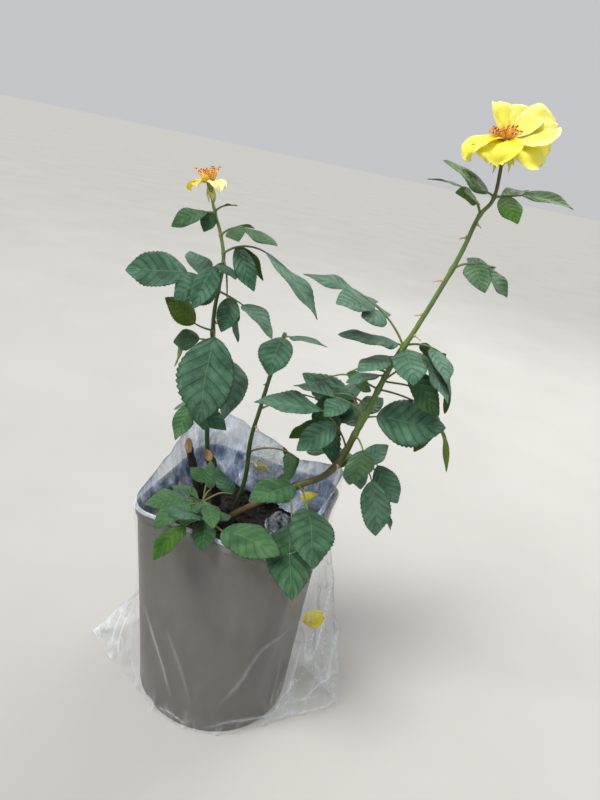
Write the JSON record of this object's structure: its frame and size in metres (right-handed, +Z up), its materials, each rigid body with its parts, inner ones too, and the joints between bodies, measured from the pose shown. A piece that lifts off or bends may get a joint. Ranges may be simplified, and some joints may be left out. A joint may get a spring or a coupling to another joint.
{
  "type": "potted_rose_bush",
  "caption": "Yellow bush rose in a tall square-mouthed plastic pot, wrapped in a clear film bag",
  "frame": {"origin": "centre of the pot's flat underside, on the ground", "axes": "+Z up; the sides of the pot's square mouth run along X and Y; the taller cane leans to +X; the picture looks from -Y and slightly from +X"},
  "size_m": [0.3933, 0.2309, 0.684],
  "materials": {
    "pot_plastic": "satin",
    "compost": "matte",
    "clear_film": "gloss",
    "old_wood": "matte",
    "green_cane": "satin",
    "rose_leaf": "satin",
    "yellow_petal": "matte",
    "faded_petal": "matte"
  },
  "bodies": {
    "root": {"pot": "pot_plastic", "compost": "compost", "film_bag": "clear_film", "crown": "old_wood", "cane_right": "green_cane", "cane_left": "green_cane", "cane_middle": "green_cane", "low_shoot": "green_cane", "cut_stub_tall": "old_wood", "cut_stub_short": "old_wood", "open_bloom": "yellow_petal", "spent_bloom": "faded_petal", "leaf_left_1": "rose_leaf", "leaf_left_2": "rose_leaf", "leaf_left_3": "rose_leaf", "leaf_left_4": "rose_leaf", "leaf_left_5": "rose_leaf", "leaf_left_6": "rose_leaf", "leaf_left_7": "rose_leaf", "leaf_left_8": "rose_leaf", "leaf_left_9": "rose_leaf", "leaf_left_10": "rose_leaf", "leaf_left_11": "rose_leaf", "leaf_left_12": "rose_leaf", "leaf_left_13": "rose_leaf", "leaf_middle_1": "rose_leaf", "leaf_middle_2": "rose_leaf", "leaf_middle_3": "rose_leaf", "leaf_right_1": "rose_leaf", "leaf_right_2": "rose_leaf", "leaf_right_3": "rose_leaf", "leaf_right_4": "rose_leaf", "leaf_right_5": "rose_leaf", "leaf_right_6": "rose_leaf", "leaf_right_7": "rose_leaf", "leaf_right_8": "rose_leaf", "leaf_right_9": "rose_leaf", "leaf_right_10": "rose_leaf", "leaf_right_11": "rose_leaf", "leaf_right_12": "rose_leaf", "leaf_right_13": "rose_leaf", "leaf_right_14": "rose_leaf", "leaf_right_15": "rose_leaf", "leaf_right_16": "rose_leaf", "leaf_right_17": "rose_leaf", "leaf_right_18": "rose_leaf", "leaf_right_19": "rose_leaf", "leaf_right_20": "rose_leaf", "leaf_right_21": "rose_leaf", "leaf_low_1": "rose_leaf", "leaf_low_2": "rose_leaf", "leaf_low_3": "rose_leaf", "leaf_low_4": "rose_leaf", "leaf_low_5": "rose_leaf", "leaf_low_6": "rose_leaf", "leaf_low_7": "rose_leaf"}
  },
  "joints": []
}
